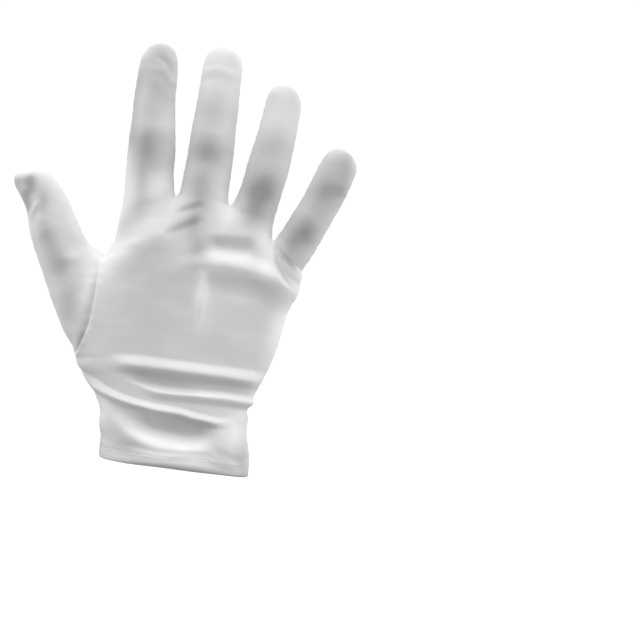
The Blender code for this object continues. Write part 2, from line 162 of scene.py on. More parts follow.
THUMB_SEAM_SAG = 17.0  # how far the thumb's seam curves into the palm
ROW_FAN = 0.3  # how far across the hand its rows still fan out from the thumb's seam
RELAX_STEPS = 9  # how often the cloth at the thumb's seam is smoothed,
RELAX_OUTLINE_STEPS = 3  # how often of these its outline too,
RELAX_RINGS = 5  # and how many faces to each side

BACK, PALM, THUMB_PIECE, HEM = range(4)

# A fold is a ridge of slack cloth along a route of points (x, z, share of its height), or a furrow where its
# height is below 0. A share of 1 is left out. A route runs from the thumb's side to the little finger's, so
# above is the width of its slope on the finger's side, and below on the wrist's. hang is how far a crest
# slumps to the wrist, and wrap whether the fold goes on round the side seams.
Fold = namedtuple("Fold", "height above below hang wrap route")
WRIST_FOLDS = (
    Fold(2.5, 5.2, 6, 0.5, 1, ((-46, 49.8, 0), (-38, 50.4, .25), (-30, 51, .75), (-22, 51), (-5, 50.9),
        (11, 51.2), (26, 51.2), (32, 51, .7), (37, 50.4, .4), (44, 50, 0))),
    Fold(-2.2, 6.4, 2.6, 0, 0, ((-32, 45.4, 0), (-25, 43, .45), (-16, 41.4, .85), (-5, 41), (5, 41.6),
        (15, 42.2, .6), (28, 42, .4), (38, 41, .2))),
    Fold(1.6, 3.8, 5, 0.3, 1, ((-25, 42, 0), (-18.6, 39.8, .4), (-11, 38.8, .9), (-1, 38.8), (8, 39.2),
        (18, 39.4), (25, 39.2), (32.5, 38.8), (37, 38.4), (42, 38.2, .8), (48, 38, 0))),
    Fold(2.2, 2.6, 4.5, 0.8, 1, ((-62, 44.6, .2), (-52.4, 40.6, .8), (-44.7, 37.4, .9), (-37, 34.3),
        (-29.6, 32.4), (-15, 30.4), (-7.5, 30), (0, 29.6), (7.3, 28.2), (14.7, 27.4, .9), (20, 27, .5),
        (26, 27.6, .2), (33, 29, 0))),
    Fold(-4.3, 9, 8.8, 0, 0, ((-28, 27.5, 0), (-19.8, 22.1, .5), (-13.4, 19.3), (-3.5, 18), (4, 18.2),
        (10, 19.2, .8), (15.5, 20.6, .35), (21, 22.2, 0))),
    Fold(2.5, 7.2, 13, 0.2, 1, ((-50, 36, 0), (-42.5, 28.8, .6), (-35.6, 22.6, .9), (-30, 19), (-25, 16),
        (-17.6, 13.4), (-8, 11.4, .9), (2, 10.8, .8), (13, 11.4, .4), (22, 14, 0))),
    Fold(2.4, 8.4, 4, 0, 0, ((-40, 1, 0), (-28, 1.6, .4), (-14, 1.8), (2, 1.8), (14, 1.8, .7),
        (24, 1.6, .2), (34, 1, 0))),
    Fold(-0.3, 3.6, 3, 0, 0, ((16, 14, 0), (22.8, 10.8), (28, 9.3), (33, 7.8, .6), (36, 7, 0))),
)
KNUCKLE_FOLDS = (
    Fold(2.7, 8, 15, 0.4, 1, ((-20, 99, 0), (-14.3, 100.3, .2), (-3.4, 104.9, .4), (5.1, 107.2, .8),
        (10.4, 107.6), (18.1, 107), (25.8, 106.6), (31, 106), (36.3, 104.6), (41.7, 102.4),
        (47.3, 99, .8), (52, 96, .4))),
    Fold(-2.3, 7, 7, 0, 0, ((-2, 117, 0), (3, 116.8, .4), (8, 116.8, .9), (14.4, 116.8), (22, 117.2, .9),
        (25.7, 118, .4), (29, 119, 0))),
    Fold(-0.5, 3.8, 3.6, 0, 0, ((-22, 117, 0), (-19.7, 118.4, .4), (-15.7, 121.5), (-11, 124.7),
        (-5, 128, .8), (-1, 130, 0))),
    Fold(-0.35, 3, 2.8, 0, 0, ((-17, 130, 0), (-15, 131.2, .6), (-10.8, 133.3), (-5.4, 135.9),
        (-2, 137, 0))),
    Fold(0.8, 10, 14, 0, 0, ((-46, 98, 0), (-43, 101, .6), (-39, 106), (-34.7, 111.7), (-30.2, 116.2),
        (-24.1, 118.3), (-17.8, 119.5, .6), (-12, 121, 0))),
    Fold(0.5, 4.4, 5.4, 0, 0, ((2, 104.5, 0), (2.1, 101, .6), (2.2, 96), (2.3, 88), (2.4, 80, .7),
        (2.5, 73, .4), (2.5, 64, 0))),
)
# Small folds and creases of the digits, and where the little finger's cloth is tucked in.
DIGIT_FOLDS = (
    Fold(-0.45, 1.6, 2.2, 0, 0, ((34.5, 124, 0), (36, 118, .9), (38.6, 110.5), (43.6, 104.2, .9),
        (48, 100.6, .4), (51, 98, 0))),
    Fold(0.5, 3, 3.2, 0, 0, ((37, 114, 0), (42, 110.8, .8), (47, 107.4), (51.7, 104.9, .9),
        (56, 102, 0))),
    Fold(0.35, 4, 5, 0.2, 0, ((-74, 101, 0), (-70, 101, .9), (-65.5, 102, .9), (-60.5, 102.6, .3),
        (-57, 103, 0))),
    Fold(0.6, 2, 2.2, 0, 0, ((-92, 117, 0), (-91.6, 121, .8), (-90, 126, .7), (-88.5, 130, 0))),
    Fold(0.45, 2.6, 3.4, 0, 0, ((-47, 200, 0), (-43, 202, .2), (-38, 203.4, .35), (-33.7, 203.2, .7),
        (-30.8, 201.4), (-27.7, 198, .9), (-26, 195, 0))),
    Fold(-0.55, 3.2, 2, 0, 0, ((-40, 211, 0), (-33.5, 208.8, .8), (-29.4, 204.9), (-27.6, 200, 0))),
    Fold(0.4, 3.6, 5.4, 0, 0, ((-16, 203, 0), (-11, 206, .8), (-4, 207.4), (2.5, 206, .8),
        (8, 202.5, 0))),
)
PALM_FOLDS = (
    Fold(1.9, 3.2, 4.5, 0.4, 0, ((-48, 29, 0), (-40, 29, .8), (-22, 32), (-4, 32.5), (16, 35),
        (31, 39.5, .6), (37, 41, 0))),
    Fold(2.1, 3.2, 4.5, 0.4, 0, ((-45, 20, 0), (-36, 19.5, .8), (-20, 20), (-2, 21.2), (16, 24),
        (30, 28, .6), (36, 30, 0))),
    Fold(1.1, 4, 4, 0.2, 0, ((-40, 10, 0), (-28, 9.5, .8), (-6, 12), (16, 12.6), (30, 15.5, .6),
        (36, 17, 0))),
)
# Broad swellings and hollows: centre, radii, and height, which is below 0 for a hollow.
Swell = namedtuple("Swell", "x z radius_x radius_z height")
PALM_SWELLS = (
    Swell(-30, 62, 20, 24, 2.6),  # ball of the thumb
    Swell(26, 52, 15, 26, 2.2),  # heel under the little finger
    Swell(2, 80, 18, 20, -3),  # hollow of the palm
    Swell(4, 114, 40, 9, 1.6),  # pads under the fingers
)
BACK_SWELLS = (
    Swell(-2, 31, 30, 12, -1),  # the cloth sinks in between the folds of the wrist,
    Swell(27, 18, 9, 12, 1.2),  # and comes forward again beside them
    Swell(-30, 104, 15, 12, -0.5),  # hollow under the index finger's knuckle
    Swell(2.8, 87, 3.5, 10, 1.2),  # cord of the middle finger
    Swell(-35, 121, 9, 11, 1.2),  # knuckle of the index finger
    Swell(-36.5, 170.5, 10, 7, 1),  # joints of the fingers
    Swell(-4.5, 172, 10, 7, 1),
    Swell(26.5, 158, 10, 7, 1),
    Swell(50, 137, 9, 6.5, 0.9),
    Swell(60.5, 160, 9, 6, 0.7),
)

# Where the outline is drawn out or in: centre, radii, and which way.
Pull = namedtuple("Pull", "x z radius_x radius_z way_x way_z")
PULLS = (
    Pull(-101, 138.5, 7.5, 7, -2.2, 1.9),  # the thumb's tip has an empty corner
    Pull(-47, 25.5, 9, 6.5, 3.1, 0),  # the cuff runs straight down from under the folds
    Pull(-53, 39.6, 7, 3.4, 2.9, 0),
    Pull(-62.5, 56.8, 6, 4.5, 1.3, 0),
    Pull(-57, 45, 5, 3, 0.4, 0),
    Pull(-39, 2, 6, 8, -1.9, 0),
    Pull(35, 34.5, 6, 3, -1.2, 0),
)

LIVELINESS = 0.16  # the cloth's own unevenness
SMALL_SHARE = 0.2  # and how much of that is small
FOLD_WAVER = 0.04  # how far a fold strays from its route, as a share of its slope's width
FOLD_REACH = 1.2  # how far from its route a fold is looked for, in widths of its slope
WRAP_EDGE = 0.45  # a fold that wraps fades this far past the side seams,
FACE_EDGE = -0.08  # and another before them,
FOLD_FADE = 0.5  # over this much of the cloth's turn
SWELL_FADE = 0.6
EDGE_WAVE = 0.25  # the cuff's edge isn't quite straight
EDGE_WAVE_TOP = 12.0
RIM_ROUND = 1.0  # how far the cuff's edge is rounded off
SEAM_DEPTH = 0.45  # a seam draws the cloth in this far,
HEM_SEAM_SHARE = 0.15  # though the hem's only this much of it,
HEM_SEAM_TOP = HEM_LINE + 2
SEAM_REACH = 1.0  # over this width,
PUCKER = 0.08  # and gathers it a little on both sides
PUCKER_PITCH = 6.3
PUCKER_STRAY = 1.4
PUCKER_PLACE = 1.6  # how far from the seam the gathers are deepest
PUCKER_WIDTH = 2.0
# Waves of unevenness: their length, and the seed of their random ways.
FOLD_WAVES = (18.0, 21)
BROAD_WAVES = (21.0, 3)
SMALL_WAVES = (8.0, 5)
PUCKER_WAVES = (23.0, 8)
EDGE_WAVES = (38.0, 11)


def blend(a, b, share):
    return a + (b - a) * share


def eased(share):
    share = min(1.0, max(0.0, share))
    return share * share * (3 - 2 * share)


def eased_all(share):
    share = np.clip(share, 0.0, 1.0)
    return share * share * (3 - 2 * share)


def arch(share):
    """The height of a half circle over a share from 0 to 1."""
    return math.sqrt(max(0.0, 1 - (2 * share - 1) ** 2))


def curve_through(places, values, at):
    """A smooth curve through values at rising places, read at one place."""
    last = len(places) - 1
    i = max(k for k in range(last) if places[k] <= at or k == 0)
    x0, x1 = places[i], places[i + 1]
    step = x1 - x0
    chord = (values[i + 1] - values[i]) / step

    def slope(k):
        if k in (0, last):
            return chord
        before = (values[k] - values[k - 1]) / (places[k] - places[k - 1])
        after = (values[k + 1] - values[k]) / (places[k + 1] - places[k])
        return (before + after) / 2

    s = (at - x0) / step
    ease_in = s * (1 - s) ** 2
    ease_out = s * s * (s - 1)
    return blend(values[i], values[i + 1], eased(s)) + step * (ease_in * slope(i) + ease_out * slope(i + 1))


def row_read(rows, places, at):
    """A row of a table, read between its rows."""
    fields = zip(*rows)
    return type(rows[0])(*(curve_through(places, column, at) for column in fields))


def hand_at(level):
    return row_read(HAND, range(len(HAND)), level)


def station_at(digit, along):
    return row_read(digit.stations, [row.along for row in digit.stations], along)


def digit_line(digit):
    """The base, the unit vector to the tip, the unit vector to the ulnar side, and the length."""
    base = Vector(digit.base)
    span = Vector(digit.tip) - base
    forward = span.normalized()
    return base, forward, Vector((forward.y, -forward.x)), span.length


def digit_sides(digit, along):
    """The radial and ulnar outline points (x, z) at a distance along a digit, its station and roundness."""
    base, forward, aside, length = digit_line(digit)
    station = station_at(digit, along)
    skew = digit.skew * (1 - eased(along / SKEW_REACH))
    into_cap = max(0.0, along - (length - digit.cap)) / digit.cap
    roundness = max(0.0, 1 - into_cap**CAP_POWER) ** (1 / CAP_POWER)
    radial = base + forward * (along + skew) - aside * station.radial * roundness
    ulnar = base + forward * (along - skew) + aside * station.ulnar * roundness
    return radial, ulnar, station, roundness


def ring_places(digit):
    """The distance along a digit of each of its rings."""
    stem = digit_line(digit)[3] - digit.cap
    turns = [0.5 * math.pi * i / (TIP_RINGS + 0.5) for i in range(1, TIP_RINGS + 1)]
    return [stem * (i + 1) / STEM_RINGS for i in range(STEM_RINGS)] + [
        stem + digit.cap * math.sin(turn) for turn in turns
    ]


def across_ring(radial, ulnar, i, columns):
    """The i-th point (x, z) of a ring that runs over the back to the ulnar side and back under the palm."""
    turn = math.pi * (i if i <= columns else 2 * columns - i) / columns
    return radial.lerp(ulnar, (1 - math.cos(turn)) / 2), math.sin(turn)


def digit_ring(digit, along, columns, loop):
    """The points of one ring: along the back from the radial side to the ulnar side, then along the palm."""
    radial, ulnar, station, roundness = digit_sides(digit, along)
    root_radial, root_ulnar, _, _ = digit_sides(digit, 0.0)
    hold = 1 - eased(along / SKEW_REACH)
    points = []
    for i in range(2 * columns):
        flat, fullness = across_ring(radial, ulnar, i, columns)
        depth = fullness * roundness * (-station.back if i <= columns else station.palm)
        if loop is not None:
            depth = blend(depth, loop[i].y, hold)
            root = across_ring(root_radial, root_ulnar, i, columns)[0]
            flat = flat + (Vector((loop[i].x, loop[i].z)) - root) * hold
        points.append(Vector((flat.x, depth + station.lean, flat.y)))
    return points


def finger_root_row():
    """The top row of the hand: its points (x, z), and the depth that each finger's root gives them."""
    points, back, palm = [], [], []
    for digit in FINGERS:
        radial, ulnar, station, _ = digit_sides(digit, 0.0)
        for i in range(FINGER_COLUMNS + 1):
            flat, fullness = across_ring(radial, ulnar, i, FINGER_COLUMNS)
            points.append(flat)
            back.append(fullness * station.back)
            palm.append(fullness * station.palm)
    return points, back, palm


TOP_ROW, TOP_BACK, TOP_PALM = finger_root_row()
COLUMNS = len(TOP_ROW) - 1


def hand_row(level, on_back):
    """The points of one row of the hand's back or palm, from the radial to the ulnar side.

    The rows fan out from the thumb's seam, where they are close together, to even steps at the other side.
    """
    drop = WEB_DROP_BACK if on_back else WEB_DROP_PALM
    top_depth = TOP_BACK if on_back else TOP_PALM
    opening = (level - THUMB_FOOT) / (THUMB_FORK - THUMB_FOOT)
    even = level
    if 0 < opening < 1:
        even = blend(THUMB_FOOT, THUMB_FORK, math.acos(1 - 2 * opening) / math.pi)
    opening = arch(opening) if 0 < opening < 1 else 0.0
    side_depth = opening * (THUMB.stations[0].back if on_back else THUMB.stations[0].palm)
    sag = 0.0 if on_back else opening * THUMB_SEAM_SAG
    top_chord = TOP_ROW[-1] - TOP_ROW[0]
    points = []
    for k in range(COLUMNS + 1):
        at_top = (TOP_ROW[k] - TOP_ROW[0]).dot(top_chord) / top_chord.length_squared
        at_cuff = (1 - math.cos(math.pi * k / COLUMNS)) / 2
        fanned = blend(level, even, eased(at_cuff / ROW_FAN))
        row = hand_at(fanned)
        radial = Vector((row.radial_x, row.radial_z))
        ulnar = Vector((row.ulnar_x, row.ulnar_z))
        depth = row.back if on_back else row.palm
        across = blend(at_cuff, at_top, eased(fanned / (len(HAND) - 1)))
        bowed = TOP_ROW[k] - TOP_ROW[0].lerp(TOP_ROW[-1], at_top)
        flat = radial.lerp(ulnar, across) + bowed * row.bow
        flat.x += sag * (1 - across) ** 2
        fullness = 1 - abs(2 * across - 1) ** row.square
        seam_side = side_depth if across < 0.5 else 0.0
        wide = seam_side**2 + (depth**2 - seam_side**2) * fullness
        below_top = (TOP_ROW[k] - flat).length
        rise = 1 - (1 - min(below_top / drop, 1.0)) ** 2
        deep = math.sqrt(max(0.0, blend(top_depth[k] ** 2, wide, rise)))
        points.append(Vector((flat.x, -deep if on_back else deep, flat.y)))
    return points


def hand_loop(level):
    """A whole ring of the hand: the back from the radial to the ulnar side, then the palm back again."""
    return hand_row(level, True) + hand_row(level, False)[::-1]


def row_levels():
    levels = [0.0]
    for start, end, rows in ROW_STRETCHES:
        shares = [(i + 1) / rows for i in range(rows)]
        if start == THUMB_FOOT:
            shares = [(1 - math.cos(math.pi * share)) / 2 for share in shares]
        levels += [blend(start, end, share) for share in shares]
    return levels


def flat_cloth(points, halves, middles, rise):
    """Where a ring's points lie on the flat cloth: how far from the middle of its half, and how far up."""
    spots = {}
    for (half, first, last), middle in zip(halves, middles):
        run = [0.0]
        for i in range(first, last):
            run.append(run[-1] + (points[(i + 1) % len(points)] - points[i]).length)
        for i in range(first, last + 1):
            spots[half, i] = (middle + run[i - first] - run[-1] / 2, rise(points[i % len(points)]))
    return spots


def lay_cloth(bm, faces, lower, upper, below, above):
    """Gives one row of faces its place on the flat cloth, for the knit to follow."""
    knit = bm.loops.layers.uv["knit"]
    rings = {v: (i, below) for i, v in enumerate(lower)}
    rings.update({v: (i, above) for i, v in enumerate(upper)})
    for face, half in faces:
        turns = [rings[v][0] for v in face.verts]
        wraps = max(turns) - min(turns) > 1
        for loop in face.loops:
            i, spots = rings[loop.vert]
            i = len(lower) if wraps and i == 0 else i
            loop[knit].uv = spots.get((half, i), (0.0, 0.0))


def raised(bm, ring, places):
    """Extrudes a closed ring of vertices by one row of faces and puts the new vertices in their places."""
    edges = [bm.edges.get((ring[i - 1], ring[i])) for i in range(len(ring))]
    made = bmesh.ops.extrude_edge_only(bm, edges=edges)["geom"]
    fresh = {item for item in made if isinstance(item, bmesh.types.BMVert)}
    risen = [next(e.other_vert(v) for e in v.link_edges if e.other_vert(v) in fresh) for v in ring]
    for vert, place in zip(risen, places):
        vert.co = place
    return risen, [item for item in made if isinstance(item, bmesh.types.BMFace)]


def half_of(face, ring, halfway):
    """BACK for a face over the first half of a ring, PALM for the second half."""
    places = [ring[v] for v in face.verts if v in ring]
    low, high = min(places), max(places)
    wraps = high - low > 1 and low == 0
    return PALM if wraps or low >= halfway else BACK


def raise_digit(bm, ring, digit, columns, piece, spots, loop=None):
    """Grows a digit from a ring of vertices. piece is its own, or None for one half on each panel."""
    base, forward, _, _ = digit_line(digit)
    whole = ((piece, 0, 2 * columns),)
    halves = ((BACK, 0, columns), (PALM, columns, 2 * columns)) if piece is None else whole
    middles = [(spots[half, first][0] + spots[half, last][0]) / 2 for half, first, last in halves]

    def rise(point):
        return digit.base[1] + (Vector((point.x, point.z)) - base).dot(forward)

    outer_seam = []
    for along in ring_places(digit):
        order = {v: i for i, v in enumerate(ring)}
        places = digit_ring(digit, along, columns, loop)
        risen, faces = raised(bm, ring, places)
        outer_seam.append(bm.edges.get((ring[0], risen[0])))
        for face in faces:
            face.material_index = half_of(face, order, columns) if piece is None else piece
        above = flat_cloth(places, halves, middles, rise)
        lay_cloth(bm, [(face, face.material_index) for face in faces], ring, risen, spots, above)
        ring, spots = risen, above
    close_tip(bm, ring, digit, columns, piece, spots)
    if piece is not None:
        for edge in outer_seam:
            edge.seam = True


def close_tip(bm, ring, digit, columns, piece, spots):
    """Closes a digit with faces from its last ring to its tip point."""
    knit = bm.loops.layers.uv["knit"]
    order = {v: i for i, v in enumerate(ring)}
    tip = bm.verts.new(Vector((digit.tip[0], digit.stations[-1].lean, digit.tip[1])))
    for i in range(len(ring)):
        face = bm.faces.new((ring[i], ring[(i + 1) % len(ring)], tip))
        face.material_index = half_of(face, order, columns) if piece is None else piece
        low, high = spots[face.material_index, i], spots[face.material_index, i + 1]
        top = ((low[0] + high[0]) / 2, low[1] + 1.0)
        for loop, spot in zip(face.loops, (low, high, top)):
            loop[knit].uv = spot


def raise_hand(bm):
    """Grows the hand from the cuff's edge to the finger roots. Returns its rows, levels and flat cloth."""
    levels = row_levels()
    halves = ((BACK, 0, COLUMNS), (PALM, COLUMNS + 1, 2 * COLUMNS + 1))
    ring = bmesh.ops.create_circle(bm, segments=2 * COLUMNS + 2, radius=1.0)["verts"]
    places = hand_loop(0.0)
    for vert, place in zip(ring, places):
        vert.co = place
    rows = [ring]
    spots = flat_cloth(places, halves, (0.0, 0.0), lambda point: point.z)
    for level in levels[1:]:
        order = {v: i for i, v in enumerate(ring)}
        places = hand_loop(level)
        risen, faces = raised(bm, ring, places)
        above = flat_cloth(places, halves, (0.0, 0.0), lambda point: point.z)
        on_halves = [(face, half_of(face, order, COLUMNS)) for face in faces]
        lay_cloth(bm, on_halves, ring, risen, spots, above)
        for face, half in on_halves:
            face.material_index = HEM if level <= HEM_TOP + HAIR else half
        rows.append(risen)
        ring, spots = risen, above
    return rows, levels, spots


def side_strips(rows, levels):
    """The faces between the back's and the palm's edge where the thumb is set in."""
    opening = []
    for lower, upper, low_level, high_level in zip(rows, rows[1:], levels, levels[1:]):
        if low_level >= THUMB_FOOT - HAIR and high_level <= THUMB_FORK + HAIR:
            corners = {lower[0], lower[-1], upper[0], upper[-1]}
            opening.append(next(f for f in lower[0].link_faces if set(f.verts) == corners))
    return opening


def thumb_loop(rows, levels):
    """The vertices round the thumb's seam: up the back's edge, then down the palm's edge."""
    at_seam = [i for i, level in enumerate(levels) if THUMB_FOOT - HAIR <= level <= THUMB_FORK + HAIR]
    return [rows[i][0] for i in at_seam] + [rows[i][-1] for i in reversed(at_seam[1:-1])]


def finger_loop(top, start, spots):
    """The vertices round one finger's root, from the radial side over the back, and their flat cloth."""
    last = 2 * COLUMNS + 1
    back = top[start : start + FINGER_COLUMNS + 1]
    mirrored = [top[last - k] for k in range(start + FINGER_COLUMNS - 1, start, -1)]
    own = {(BACK, i): spots[BACK, start + i] for i in range(FINGER_COLUMNS + 1)}
    for i in range(FINGER_COLUMNS, 2 * FINGER_COLUMNS + 1):
        own[PALM, i] = spots[PALM, last - (start + 2 * FINGER_COLUMNS - i)]
    return back + mirrored, own


def weld_sides(bm, rows, levels):
    """Makes one vertex of the back's and the palm's edge where they meet in a side seam or a web."""
    targets = {}
    for row, level in zip(rows, levels):
        if not THUMB_FOOT + HAIR < level < THUMB_FORK - HAIR:
            targets[row[-1]] = row[0]
        targets[row[COLUMNS + 1]] = row[COLUMNS]
    top = rows[-1]
    for k in range(1, COLUMNS):
        if TOP_BACK[k] < HAIR:
            targets[top[2 * COLUMNS + 1 - k]] = top[k]
    bmesh.ops.weld_verts(bm, targetmap=targets)


def relax_thumb_seam(bm, loop):
    """Smooths the cloth on both sides of the thumb's seam, so that the thumb flows out of the hand."""
    near = set(loop)
    for _ in range(RELAX_RINGS):
        near |= {edge.other_vert(v) for v in near for edge in v.link_edges}
    for step in range(RELAX_STEPS):
        outline_too = step < RELAX_OUTLINE_STEPS
        bmesh.ops.smooth_vert(
            bm, verts=list(near), factor=0.5, use_axis_x=outline_too, use_axis_y=True, use_axis_z=outline_too
        )


def glove_cage():
    """The outside of the whole glove as one coarse surface, each face marked with its piece."""
    bm = bmesh.new()
    bm.loops.layers.uv.new("knit")
    rows, levels, spots = raise_hand(bm)
    bmesh.ops.delete(bm, geom=side_strips(rows, levels), context="FACES")
    weld_sides(bm, rows, levels)
    loop = thumb_loop(rows, levels)
    for number, digit in enumerate(FINGERS):
        ring, own = finger_loop(rows[-1], number * (FINGER_COLUMNS + WEB_COLUMNS), spots)
        raise_digit(bm, ring, digit, FINGER_COLUMNS, None, own)
    places = [v.co.copy() for v in loop]
    own = flat_cloth(places, ((THUMB_PIECE, 0, len(loop)),), (0.0,), lambda point: point.z)
    raise_digit(bm, loop, THUMB, len(loop) // 2, THUMB_PIECE, own, places)
    bmesh.ops.recalc_face_normals(bm, faces=bm.faces)
    relax_thumb_seam(bm, loop)
    return bm


def new_object(name, bm):
    mesh = bpy.data.meshes.new(name)
    bm.to_mesh(mesh)
    bm.free()
    return bpy.data.objects.new(name, mesh)


def smoothed_skin():
    """The cage with its faces divided and smoothed, as a mesh."""
    cage = new_object("cage", glove_cage())
    for _ in range(len((BACK, PALM, THUMB_PIECE, HEM))):
        cage.data.materials.append(None)
    bpy.context.scene.collection.objects.link(cage)
    smoothing = cage.modifiers.new("smoothing", "SUBSURF")
    smoothing.levels = SMOOTHING
    smoothing.render_levels = SMOOTHING
    graph = bpy.context.evaluated_depsgraph_get()
    skin = bpy.data.meshes.new_from_object(
        cage.evaluated_get(graph), preserve_all_data_layers=True, depsgraph=graph
    )
    bpy.data.objects.remove(cage)
    return skin


def read_all(items, field, width, kind=float):
    """One field of all a mesh's items, as an array."""
    values = np.zeros(len(items) * width, np.float32 if kind is float else np.int32)
    items.foreach_get(field, values)
    return values.reshape(-1, width).astype(kind) if width > 1 else values.astype(kind)


def route_points(route):
    """A smooth route through its points, sampled about twice a millimetre."""
    points = np.array([(*point, 1)[:3] for point in route], float)
    run = np.concatenate([[0], np.cumsum(np.hypot(*np.diff(points[:, :2], axis=0).T))])
    at = np.linspace(0, run[-1], max(8, int(run[-1] * 2)))
    return np.array([[curve_through(run, column, place) for column in points.T] for place in at])


def along_route(route, x, z, reach):
    """For places near a route: which they are, how far each is from it (above is positive), and its share."""
    line = route_points(route)
    low, high = line[:, :2].min(0) - reach, line[:, :2].max(0) + reach
    near = np.flatnonzero((x > low[0]) & (x < high[0]) & (z > low[1]) & (z < high[1]))
    if not len(near):
        return near, np.zeros(0), np.zeros(0)
    away_x = x[near, None] - line[None, :, 0]
    away_z = z[near, None] - line[None, :, 1]
    square = away_x**2 + away_z**2
    nearest = square.argmin(1)
    rows = np.arange(len(near))
    tangent = np.gradient(line[:, :2], axis=0)
    tangent /= np.linalg.norm(tangent, axis=1)[:, None]
    side = tangent[nearest, 0] * away_z[rows, nearest] - tangent[nearest, 1] * away_x[rows, nearest]
    distance = np.sqrt(square[rows, nearest]) * np.where(side < 0, -1.0, 1.0)
    return near, distance, eased_all(line[nearest, 2])


def press_fold(fold, x, z, facing, waver, height, hang):
    """Adds one fold to the height of the cloth, and what its crest slumps."""
    near, distance, share = along_route(fold.route, x, z, FOLD_REACH * max(fold.above, fold.below))
    distance += FOLD_WAVER * min(fold.above, fold.below) * waver[near]
    slope = np.where(distance > 0, distance / fold.above, -distance / fold.below)
    edge = WRAP_EDGE if fold.wrap else FACE_EDGE
    crest = eased_all(1 - slope) * share * eased_all((facing[near] + edge) / FOLD_FADE)
    height[near] += fold.height * crest
    hang[near] += fold.hang * crest


def press_swells(swells, x, z, facing, height):
    for swell in swells:
        lump = np.exp(-(((x - swell.x) / swell.radius_x) ** 2) - ((z - swell.z) / swell.radius_z) ** 2)
        height += swell.height * lump * eased_all(facing / SWELL_FADE)


def unevenness(places, wavelength, seed, waves=14):
    """Soft random waves over the cloth, from about -1 to 1."""
    rng = np.random.default_rng(seed)
    total = np.zeros(len(places))
    for _ in range(waves):
        way = rng.normal(size=3)
        way *= 2 * math.pi / (wavelength * rng.uniform(0.75, 1.35) * np.linalg.norm(way))
        total += np.sin(places @ way + rng.uniform(0, 2 * math.pi))
    return total / math.sqrt(waves)


def seam_distance(skin, places):
    """How far each vertex is from the nearest seam between two pieces, or in one."""
    edges = read_all(skin.edges, "vertices", 2, int)
    seam_flags = np.zeros(len(skin.edges), bool)
    skin.edges.foreach_get("use_seam", seam_flags)
    piece = read_all(skin.polygons, "material_index", 1, int)
    loop_edges = read_all(skin.loops, "edge_index", 1, int)
    sizes = read_all(skin.polygons, "loop_total", 1, int)
    loop_piece = np.repeat(piece, sizes)
    low = np.full(len(edges), 99)
    high = np.full(len(edges), -1)
    np.minimum.at(low, loop_edges, loop_piece)
    np.maximum.at(high, loop_edges, loop_piece)
    at_seam = np.flatnonzero((low != high) | seam_flags)
    tree = KDTree(3 * len(at_seam))
    for number, (a, b) in enumerate(edges[at_seam]):
        for point in (places[a], (places[a] + places[b]) / 2, places[b]):
            tree.insert(point, number)
    tree.balance()
    return np.array([tree.find(place)[2] for place in places])


def press_skin(skin):
    """Presses folds, creases, seams and the cloth's own unevenness into the smooth skin."""
    places = read_all(skin.vertices, "co", 3)
    normals = read_all(skin.vertex_normals, "vector", 3)
    x, z = places[:, 0], places[:, 2]
    height = np.zeros(len(places))
    hang = np.zeros(len(places))
    waver = unevenness(places, *FOLD_WAVES)
    for fold in WRIST_FOLDS + KNUCKLE_FOLDS + DIGIT_FOLDS:
        press_fold(fold, x, z, -normals[:, 1], waver, height, hang)
    for fold in PALM_FOLDS:
        press_fold(fold, x, z, normals[:, 1], waver, height, hang)
    press_swells(BACK_SWELLS, x, z, -normals[:, 1], height)
    press_swells(PALM_SWELLS, x, z, normals[:, 1], height)
    small = SMALL_SHARE * unevenness(places, *SMALL_WAVES)
    height += LIVELINESS * (unevenness(places, *BROAD_WAVES) + small)
    seam = seam_distance(skin, places)
    drawn_in = SEAM_DEPTH * np.where(z < HEM_SEAM_TOP, HEM_SEAM_SHARE, 1.0)
    height -= drawn_in * np.exp(-((seam / SEAM_REACH) ** 2))
    over_rim = np.clip(1 - z / RIM_ROUND, 0, 1)
    height -= RIM_ROUND * (1 - np.sqrt(1 - over_rim**2))
    gather = np.sin(2 * math.pi * z / PUCKER_PITCH + PUCKER_STRAY * unevenness(places, *PUCKER_WAVES))
    height += PUCKER * gather * np.exp(-(((seam - PUCKER_PLACE) / PUCKER_WIDTH) ** 2))
    moved = places + normals * height[:, None]
    moved[:, 2] -= hang
    for pull in PULLS:
        hold = np.exp(-(((x - pull.x) / pull.radius_x) ** 2) - ((z - pull.z) / pull.radius_z) ** 2)
        moved[:, 0] += pull.way_x * hold
        moved[:, 2] += pull.way_z * hold
    moved[:, 2] += EDGE_WAVE * unevenness(places, *EDGE_WAVES) * eased_all(1 - z / EDGE_WAVE_TOP)
    skin.vertices.foreach_set("co", moved.astype(np.float32).ravel())
    skin.update()


def maths(operation, swapped=False):
    """A method that adds a maths node after a strand, and gives the strand that comes out."""

    def after(self, other=0.0):
        pair = (other, self) if swapped else (self, other)
        return self.finish.strand("ShaderNodeMath", {"operation": operation}, dict(enumerate(pair)))

    return after


class Strand:
    """One value in a finish. Sums with numbers and other strands add the maths nodes."""

    def __init__(self, finish, socket):
        self.finish = finish
        self.socket = socket

    __add__ = __radd__ = maths("ADD")
    __mul__ = __rmul__ = maths("MULTIPLY")
    __sub__ = maths("SUBTRACT")
    __rsub__ = maths("SUBTRACT", swapped=True)
    __pow__ = maths("POWER")
    above = maths("MAXIMUM")
    sine = maths("SINE")
    size = maths("ABSOLUTE")


